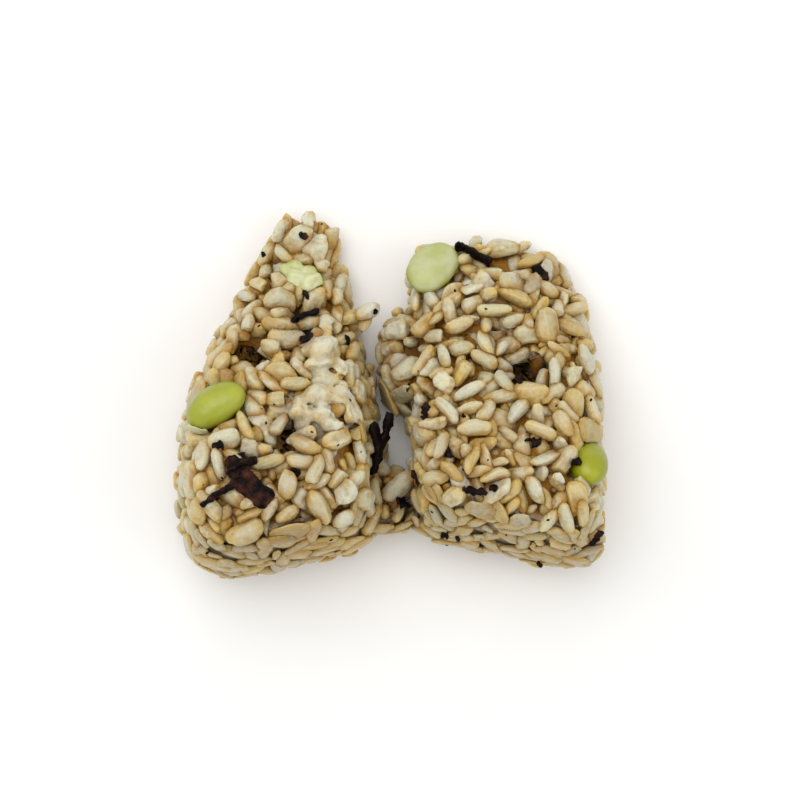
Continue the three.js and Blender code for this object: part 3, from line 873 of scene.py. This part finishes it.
def mottled(material, base, other, factor_socket, low=0.4, high=0.65):
    """A colour that turns to another where a pattern is high."""
    share = add_node(
        material, "ShaderNodeMapRange", {"Value": factor_socket}, From_Min=low, From_Max=high, To_Max=1.0
    )
    mix = add_node(material, "ShaderNodeMix", {"Factor": share.outputs["Result"]}, data_type="RGBA")
    for socket, value in ((mix.inputs[6], base), (mix.inputs[7], other)):
        if hasattr(value, "is_linked"):
            material.node_tree.links.new(socket, value)
        else:
            socket.default_value = linear(value)
    return mix.outputs[2]


def bump(material, shader, layers):
    """Fine relief from patterns: each layer is a height socket and its depth in millimetres."""
    normal = None
    for height, depth_mm in layers:
        links = {"Height": height}
        if normal:
            links["Normal"] = normal
        node = add_node(material, "ShaderNodeBump", links, Strength=1.0, Distance=depth_mm * MM)
        normal = node.outputs["Normal"]
    connect(material, shader, "Normal", normal)


def cooked_grain():
    """Steamed rice and barley: starchy and damp, so light sinks in and the wet skin glints softly."""
    material, shader = new_material("Steamed grain, damp with broth")
    # the point colours hold painted shade and painted pale tops as well as broth
    own = add_node(material, "ShaderNodeAttribute", attribute_name="Grain colour")
    cloud = pattern(material, 2.6, 3.0)
    colour = mottled(material, own.outputs["Color"], "#ad8c42", cloud.outputs["Fac"], 0.53, 0.84)
    # a smeared film of dried starch, paler than the grains
    film = pattern(material, 1.5, 4.0, roughness=0.7)
    colour = mottled(material, colour, "#d0cdba", film.outputs["Fac"], 0.55, 1.0)
    connect(material, shader, "Base Color", colour)
    set_shader(
        shader, Roughness=0.38, IOR=1.38, Specular_IOR_Level=0.28, Subsurface_Weight=0.85,
        Subsurface_Radius=(1.0, 0.88, 0.55), Subsurface_Scale=2.2 * MM, Coat_Weight=0.2, Coat_Roughness=0.14,
    )
    # wrinkles of the swollen skin, and its finest grain
    folds = pattern(material, 1.1, 2.0)
    skin = pattern(material, 0.35, 2.0)
    bump(material, shader, ((folds.outputs["Fac"], 0.55), (skin.outputs["Fac"], 0.08)))
    return material


def rice_paste():
    """Starch and broth between the grains: sticky, its brown and its dark patches partly painted shade for the gaps.
    """
    material, shader = new_material("Starch paste, broth brown and painted shade")
    cloud = pattern(material, 5.0, 4.0)
    own = add_node(material, "ShaderNodeAttribute", attribute_name="Grain colour")
    # dark patches of broth, partly painted shade in the gaps
    colour = mottled(material, own.outputs["Color"], "#53300e", cloud.outputs["Fac"], 0.46, 0.7)
    connect(material, shader, "Base Color", colour)
    set_shader(
        shader, Roughness=0.4, Specular_IOR_Level=0.15, Subsurface_Weight=0.6, Subsurface_Radius=(1.0, 0.8, 0.4),
        Subsurface_Scale=1.8 * MM,
    )
    lumps = pattern(material, 1.6, 4.0)
    bump(material, shader, ((lumps.outputs["Fac"], 1.2),))
    return material


def bean_skin(name, pale, deep, edge, rim):
    """A boiled green soybean: taut thin skin with a moist shine over soft flesh, deeper green at its sides, partly
    painted shade.
    """
    material, shader = new_material(name)
    cloud = pattern(material, 6.0, 2.0)
    speckle = pattern(material, 1.0, 3.0)
    body = mottled(material, pale, deep, cloud.outputs["Fac"], 0.42, 0.62)
    # sides that face away from the top are darker green: partly the bean under its loose skin, partly painted shade
    flank = add_node(material, "ShaderNodeAttribute", attribute_name="Flank")
    sides_and_shade = mottled(material, body, rim, flank.outputs["Fac"], 0.12, 0.7)
    colour = mottled(material, sides_and_shade, edge, speckle.outputs["Fac"], 0.66, 0.95)
    connect(material, shader, "Base Color", colour)
    set_shader(
        shader, Roughness=0.34, IOR=1.42, Subsurface_Weight=0.3, Subsurface_Radius=(0.8, 1.0, 0.3),
        Subsurface_Scale=1.8 * MM, Coat_Weight=0.2, Coat_Roughness=0.18,
    )
    bump(material, shader, ((cloud.outputs["Fac"], 0.5), (speckle.outputs["Fac"], 0.07)))
    return material


def salted_kelp(name, thin):
    """Kelp simmered in soy and dried with salt: near black and leathery, browner where it is thin."""
    material, shader = new_material(name)
    cloud = pattern(material, 2.4, 3.0)
    connect(material, shader, "Base Color", mottled(material, "#0b0504", thin, cloud.outputs["Fac"], 0.48, 0.75))
    set_shader(shader, Roughness=0.5, IOR=1.4, Specular_IOR_Level=0.1, Coat_Weight=0.05, Coat_Roughness=0.2)
    wrinkle = pattern(material, 0.7, 3.0)
    bump(material, shader, ((wrinkle.outputs["Fac"], 0.3),))
    return material


def pale_table():
    """A pale matt table top: near white, with the faintest unevenness."""
    material, shader = new_material("Painted board, matt")
    cloud = pattern(material, 60.0, 2.0)
    connect(material, shader, "Base Color", mottled(material, "#faf9f7", "#f8f7f5", cloud.outputs["Fac"]))
    set_shader(shader, Roughness=0.8)
    return material


# Soybeans

BEAN_VOXEL = 0.42 * MM
BEAN_SMOOTHING = 14
BEAN_SWELL = 1.025

# The left soybean's loose skin: the pixel where it lies, and its rise, length, width and curl in millimetres
SKIN_TAB = (197, 429)
SKIN_TAB_RISE = 0.7
SKIN_TAB_SIZE = (5.0, 2.8, 0.5)


def bean_piece(node, wrinkle, pitch):
    """A smooth bean in its node's place, with shallow unevenness of the given depth and pitch in mm."""
    obj = merged_copy(node, node + "_boiled")
    remesh(obj, BEAN_VOXEL)
    middle, axes, _ = principal_axes(node)
    form = form_of(obj)
    smooth(form, BEAN_SMOOTHING)
    form.normal_update()
    centre = Vector(middle) * MM
    for vertex in form.verts:
        local = (vertex.co - centre) * BEAN_SWELL
        spot = vertex.co / MM / pitch
        fold = (noise.noise(spot) - abs(noise.noise(spot * 2)) * 0.5) * wrinkle
        vertex.co = centre + local + vertex.normal * fold * MM
    # how far each point faces away from the top, for the painted shade on the sides
    flanks = [1 - vertex.normal.z for vertex in form.verts]
    obj.data = mesh_of(form, obj.name)
    obj.data.attributes.new("Flank", "FLOAT", "POINT").data.foreach_set("value", flanks)
    return obj


def thin_sheet(name, spot, normal, heading, length, width, curl, thickness=0.25):
    """A small torn flap of bean skin: a curled thin sheet with an uneven rim, lying on a spot."""
    form = bmesh.new()
    bmesh.ops.create_grid(form, x_segments=14, y_segments=9, size=0.5)
    along = (heading - normal * heading.dot(normal)).normalized()
    across = normal.cross(along)
    for vertex in form.verts:
        u, v = vertex.co.x * 2, vertex.co.y * 2
        rim = 1 + 0.22 * noise.noise(Vector((u * 1.6, v * 1.6, 5.1)))
        bow = curl * (u * u + v * v * 0.6)
        vertex.co = (
            spot
            + along * (u * length / 2 * rim * math.sqrt(1 - v * v * 0.45))
            + across * (v * width / 2 * rim * math.sqrt(1 - u * u * 0.45))
            + normal * (-bow + 0.25 * noise.noise(Vector((u * 2.2, v * 2.2, 1.3))))
        ) * MM
    bmesh.ops.solidify(form, geom=form.faces, thickness=thickness * MM)
    bmesh.ops.recalc_face_normals(form, faces=form.faces)
    return new_object(name, mesh_of(form, name))


# Kelp

KELP_VOXEL = 0.3 * MM
KELP_SMOOTHING = 2


def kelp_piece(node, swell):
    """The node's shreds, swollen by so many millimetres, with ragged edges and a wrinkled face."""
    obj = merged_copy(node, node + "_salted")
    remesh(obj, KELP_VOXEL)
    form = form_of(obj)
    smooth(form, KELP_SMOOTHING)
    form.normal_update()
    for vertex in form.verts:
        spot = vertex.co / MM
        fold = 0.2 * noise.noise(spot / 1.6) + 0.1 * noise.noise(spot / 0.6)
        ragged = noise.noise_vector(spot / 2.6) * 0.5 + noise.noise_vector(spot / 0.9) * 0.35
        vertex.co += (vertex.normal * (fold + swell) + ragged) * MM
    obj.data = mesh_of(form, obj.name)
    return obj


# Shreds that lie among the grains: pixels along each, width in millimetres
SHREDS = (
    (((462, 489), (473, 491), (488, 493)), 1.7), (((489, 487), (498, 489)), 1.5), (((531, 440), (541, 444)), 2.0),
    (((524, 441), (533, 439)), 0.7), (((531, 268), (541, 272), (549, 280)), 1.9),
    (((425, 402), (427, 412), (423, 420)), 1.9), (((449, 448), (451, 458)), 1.8),
    (((413, 468), (416, 478), (420, 484)), 1.2), (((396, 498), (403, 502), (411, 505)), 2.0),
    (((590, 545), (596, 537), (600, 530)), 1.6), (((441, 532), (449, 536)), 1.7), (((455, 537), (461, 538)), 1.3),
    (((300, 342), (309, 337), (313, 333)), 1.9), (((249, 346), (251, 356)), 1.5), (((300, 232), (306, 240)), 1.5),
    (((212, 447), (224, 444)), 1.8), (((291, 468), (300, 475)), 2.0), (((303, 290), (309, 300)), 1.2),
    (((536, 562), (545, 566)), 1.5), (((571, 460), (577, 463)), 1.6), (((582, 450), (592, 448)), 1.8),
    (((373, 310), (377, 313)), 1.0), (((262, 252), (264, 257)), 1.2), (((409, 383), (407, 392)), 0.6),
    (((462, 416), (466, 417)), 1.0), (((516, 376), (520, 384)), 1.8), (((345, 335), (349, 345)), 1.0),
)

SHRED_DROP = 1.6  # how far a shred's lowest point may hang under its highest, in millimetres
SHRED_RISE = 0.3
SPECK_SEED = 7

# Specks of kelp and bran: pixels
SPECKS = (
    (486, 309), (495, 330), (466, 335), (560, 296), (572, 337), (556, 406), (488, 460), (463, 470),
    (529, 360), (447, 545), (575, 549), (548, 520), (262, 409), (312, 432), (266, 423), (338, 445),
    (203, 485), (259, 326), (322, 224), (331, 540), (288, 397), (222, 478), (350, 400), (418, 371),
    (432, 512), (506, 535), (361, 452), (300, 517), (591, 400), (455, 291), (274, 404), (207, 553),
)


def kelp_shred(form, points, normals, width, thickness):
    """Adds one closed flat shred that follows the points, with blunt ragged ends, to a bmesh."""
    made = bmesh.ops.create_uvsphere(form, u_segments=10, v_segments=12, radius=1)["verts"]
    last = len(points) - 1
    for vertex in made:
        across_share, up_share, along_share = vertex.co
        girth = math.sqrt(max(1 - along_share**2, 1e-6))
        full = math.sqrt(max(1 - along_share**4, 0)) / girth
        u = (along_share + 1) / 2 * last
        stop = min(int(u), last - 1)
        spot = points[stop].lerp(points[stop + 1], u - stop)
        normal = normals[stop].lerp(normals[stop + 1], u - stop).normalized()
        along = (points[stop + 1] - points[stop]).normalized()
        across = normal.cross(along).normalized()
        rim = full * (1.0 + 1.1 * noise.noise(spot / 0.9 + across * across_share * 1.3))
        wave = 0.5 * noise.noise(spot / 1.5 + across * across_share * 0.7)
        offset = across * (across_share * width / 2 * rim) + normal * (up_share * thickness / 2 * full + wave)
        vertex.co = (spot + offset) * MM


def laid_on(surface, pixels, rise):
    """Points in millimetres along a row of pixels, on the surface's smoothed heights, and their normals."""
    path = []
    for (x0, y0), (x1, y1) in zip(pixels, pixels[1:]):
        path += [(x0 + (x1 - x0) * share, y0 + (y1 - y0) * share) for share in (0, 0.25, 0.5, 0.75)]
    hits = [surface.under_pixel(x, y) for x, y in path + [pixels[-1]]]
    points = np.array([point for point, _ in hits if point is not None])
    normals = np.array([normal for point, normal in hits if point is not None])
    points[:, 2] = np.maximum(points[:, 2], points[:, 2].max() - SHRED_DROP)
    for _ in range(2):
        points[:, 2] = np.maximum(points[:, 2], np.convolve(np.pad(points[:, 2], 1, "edge"), [0.3, 0.4, 0.3], "valid"))
    for _ in range(4):
        padded = np.pad(points, ((1, 1), (0, 0)), "edge")
        points[1:-1] = (padded[:-2] * 0.25 + padded[1:-1] * 0.5 + padded[2:] * 0.25)[1:-1]
    normals = unit(normals.mean(0) * 0.5 + np.array([0, 0, 0.8]) + normals * 0.15)
    points = points + normals * rise
    return [Vector(point) for point in points], [Vector(normal) for normal in normals]


# The add-on: settings, operators and panel


class OnigiriRiceSettings(bpy.types.PropertyGroup):
    """Sizes of the grains."""

    grain_scale: bpy.props.FloatProperty(
        name="Grain size", description="Size of every grain against a cooked one", default=1.0, min=0.8, max=1.2
    )
    seed: bpy.props.IntProperty(name="Seed", description="Which scatter of the grains is made", default=20417)


class OnigiriToppingSettings(bpy.types.PropertyGroup):
    """Looks of the soybeans and the kelp."""

    shred_thickness: bpy.props.FloatProperty(
        name="Shred thickness",
        description="Thickness of the loose kelp shreds",
        default=0.4 * MM,
        unit="LENGTH",
        subtype="DISTANCE",
    )
    speck_size: bpy.props.FloatProperty(
        name="Speck size",
        description="Width of the specks of kelp and bran",
        default=0.6 * MM,
        unit="LENGTH",
        subtype="DISTANCE",
    )


class OnigiriStageSettings(bpy.types.PropertyGroup):
    """The table, the light and the camera."""

    table_side: bpy.props.FloatProperty(
        name="Table side", description="Side of the square table top", default=3.0, unit="LENGTH", subtype="DISTANCE"
    )
    key_power: bpy.props.FloatProperty(
        name="Main light", description="Power of the large soft light", default=2.5, unit="POWER"
    )
    room_light: bpy.props.FloatProperty(
        name="Room light", description="Strength of the light from all round", default=0.68
    )


class ONIGIRI_OT_rice(bpy.types.Operator):
    """Builds both halves' paste and lays the grains over it"""

    bl_idname = "onigiri.rice"
    bl_label = "Rice and barley"

    def execute(self, context):
        settings = context.scene.onigiri_rice
        rng = np.random.default_rng(settings.seed)
        pastes = [rice_skin(half) for half in HALVES]
        shape_relief(pastes)
        skin = Skin([paste.name for paste in pastes])
        mashed, stains_and_shade = spots_on(skin, MASHED), spots_on(skin, STAINS_AND_SHADE)
        tables = [chosen_grains(skin, rng), stray_grains(rng)]
        taken = tables[0]["place"]
        tables += [layer_of_grains(skin, layer, mashed, taken, rng) for layer in LAYERS]
        table = {key: np.concatenate([part[key] for part in tables]) for key in tables[0]}
        table["size"] *= settings.grain_scale
        hard, hard_radius = stones()
        settle(table, skin, hard, hard_radius)
        keep = ~(crowded(table) | in_hollow(table, skin))
        table = {key: value[keep] for key, value in table.items()}
        grain = cooked_grain()
        for kind in KINDS:
            piece = grains_mesh(kind + "_grains", kind, table, stains_and_shade, rng)
            place_piece(piece, grain)
        paste_material = rice_paste()
        for half, paste in zip(HALVES, pastes):
            sink_paste(paste, mashed, stains_and_shade)
            place_piece(paste, paste_material)
            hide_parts("rice_" + half)
        return {"FINISHED"}


class ONIGIRI_OT_soybeans(bpy.types.Operator):
    """Makes the boiled soybeans in their pockets"""

    bl_idname = "onigiri.soybeans"
    bl_label = "Soybeans"

    def execute(self, context):
        whole = bean_skin("Soybean skin, boiled", "#abad3b", "#9fa530", "#b3b75d", "#8f9527")
        split = bean_skin("Soybean skin, boiled and loose", "#c6c8a2", "#b4b878", "#cfd1b0", "#9da43c")
        bright = bean_skin("Soybean skin, boiled and bright", "#a3a41a", "#959a10", "#b3b544", "#868c0a")
        torn = bean_skin("Soybean flesh, crushed", "#cfd0a4", "#bcbf7a", "#d5d5b4", "#b0b364")
        looks = {
            "soybean_left": (whole, 0.3, 6.0),
            "soybean_right_tip": (split, 0.35, 4.0),
            "soybean_right_side": (bright, 0.25, 5.0),
            "soybean_torn": (torn, 1.7, 3.0),
        }
        for node, (material, wrinkle, pitch) in looks.items():
            piece = bean_piece(node, wrinkle, pitch)
            place_piece(piece, material)
            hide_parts(node)
        surface = Surface(["soybean_left_boiled"] + [kind + "_grains" for kind in KINDS])
        spot, normal = surface.under_pixel(*SKIN_TAB)
        spot += normal * SKIN_TAB_RISE
        tab = thin_sheet("soybean_left_skin", spot, normal, Vector((0.8, -0.6, 0)), *SKIN_TAB_SIZE)
        place_piece(tab, torn)
        return {"FINISHED"}


class ONIGIRI_OT_kelp(bpy.types.Operator):
    """Makes the kelp shreds of the nodes, the small shreds among the grains and the specks"""

    bl_idname = "onigiri.kelp"
    bl_label = "Kelp"

    def execute(self, context):
        settings = context.scene.onigiri_topping
        noise.seed_set(KELP_SEED)  # without it, vector noise differs from run to run
        material = salted_kelp("Kelp strands, simmered and salted", "#1f110a")
        shred = salted_kelp("Kelp shreds, simmered and salted", "#47260f")
        leaf = salted_kelp("Kelp leaf, simmered and salted", "#4f281c")
        for node, swell in KELP_SWELL.items():
            piece = kelp_piece(node, swell)
            place_piece(piece, leaf if node == "kelp_bunch" else material)
            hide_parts(node)
        surface = Surface([kind + "_grains" for kind in KINDS] + [PASTE + half for half in HALVES])
        form = bmesh.new()
        for pixels, width in SHREDS:
            points, normals = laid_on(surface, pixels, SHRED_RISE)
            kelp_shred(form, points, normals, width, settings.shred_thickness / MM)
        bmesh.ops.recalc_face_normals(form, faces=form.faces)
        place_piece(new_object("kelp_shreds", mesh_of(form, "kelp_shreds")), shred)
        form = bmesh.new()
        rng = np.random.default_rng(SPECK_SEED)
        for x, y in SPECKS:
            point, normal = surface.under_pixel(x, y)
            if point is None:
                continue
            half = settings.speck_size / 2 * rng.uniform(0.6, 1.2)
            turn = Matrix.Rotation(rng.uniform(0, math.pi), 4, "Z")
            stretch = Matrix.Diagonal((1.5, 0.9, 0.7, 1))
            matrix = Matrix.Translation(point * MM) @ turn @ stretch
            bmesh.ops.create_icosphere(form, subdivisions=1, radius=half, matrix=matrix)
        place_piece(new_object("kelp_specks", mesh_of(form, "kelp_specks")), material)
        return {"FINISHED"}


class ONIGIRI_OT_stage(bpy.types.Operator):
    """Lays the table, sets the lights and puts the camera over the part"""

    bl_idname = "onigiri.stage"
    bl_label = "Stage"

    def execute(self, context):
        settings = context.scene.onigiri_stage
        form = bmesh.new()
        bmesh.ops.create_grid(form, x_segments=1, y_segments=1, size=settings.table_side / 2)
        table = new_object("table", mesh_of(form, "table"))
        table.data.materials.append(pale_table())
        world = bpy.data.worlds.new("Soft room")
        world.use_nodes = True
        world.node_tree.nodes["Background"].inputs["Color"].default_value = (1, 1, 1, 1)
        world.node_tree.nodes["Background"].inputs["Strength"].default_value = settings.room_light
        context.scene.world = world
        for name, place, side, share in LIGHTS:
            soft_light(name, place, side, settings.key_power * share)
        camera = bpy.data.cameras.new("camera")
        camera.sensor_width = SENSOR_WIDTH
        camera.lens = PIXELS_PER_MM * CAMERA_DISTANCE / MM * SENSOR_WIDTH / IMAGE_SIDE
        camera.clip_start = 0.01
        view = bpy.data.objects.new("camera", camera)
        context.scene.collection.objects.link(view)
        view.matrix_world = camera_matrix()
        context.scene.camera = view
        context.scene.view_settings.view_transform = "Standard"
        return {"FINISHED"}


def soft_light(name, place, side, power):
    """A square light that faces the part."""
    light = bpy.data.lights.new(name, "AREA")
    light.size = side
    light.energy = power
    obj = bpy.data.objects.new(name, light)
    bpy.context.scene.collection.objects.link(obj)
    obj.location = place
    obj.rotation_euler = (CAMERA_AIM - Vector(place)).to_track_quat("-Z", "Y").to_euler()


class ONIGIRI_PT_panel(bpy.types.Panel):
    """Lists the pieces' operators and settings"""

    bl_idname = "ONIGIRI_PT_panel"
    bl_label = "Onigiri"
    bl_space_type = "VIEW_3D"
    bl_region_type = "UI"
    bl_category = "Onigiri"

    def draw(self, context):
        for settings in (context.scene.onigiri_rice, context.scene.onigiri_topping, context.scene.onigiri_stage):
            for name in settings.__annotations__:
                self.layout.prop(settings, name)
        for operator in OPERATORS:
            self.layout.operator(operator.bl_idname)


OPERATORS = (ONIGIRI_OT_rice, ONIGIRI_OT_soybeans, ONIGIRI_OT_kelp, ONIGIRI_OT_stage)
CLASSES = (OnigiriRiceSettings, OnigiriToppingSettings, OnigiriStageSettings, *OPERATORS, ONIGIRI_PT_panel)


def register():
    for cls in CLASSES:
        bpy.utils.register_class(cls)
    bpy.types.Scene.onigiri_rice = bpy.props.PointerProperty(type=OnigiriRiceSettings)
    bpy.types.Scene.onigiri_topping = bpy.props.PointerProperty(type=OnigiriToppingSettings)
    bpy.types.Scene.onigiri_stage = bpy.props.PointerProperty(type=OnigiriStageSettings)


def unregister():
    del bpy.types.Scene.onigiri_stage
    del bpy.types.Scene.onigiri_topping
    del bpy.types.Scene.onigiri_rice
    for cls in reversed(CLASSES):
        bpy.utils.unregister_class(cls)


def main():
    register()
    bpy.ops.onigiri.rice()
    bpy.ops.onigiri.soybeans()
    bpy.ops.onigiri.kelp()
    bpy.ops.onigiri.stage()


if __name__ == "__main__":
    main()
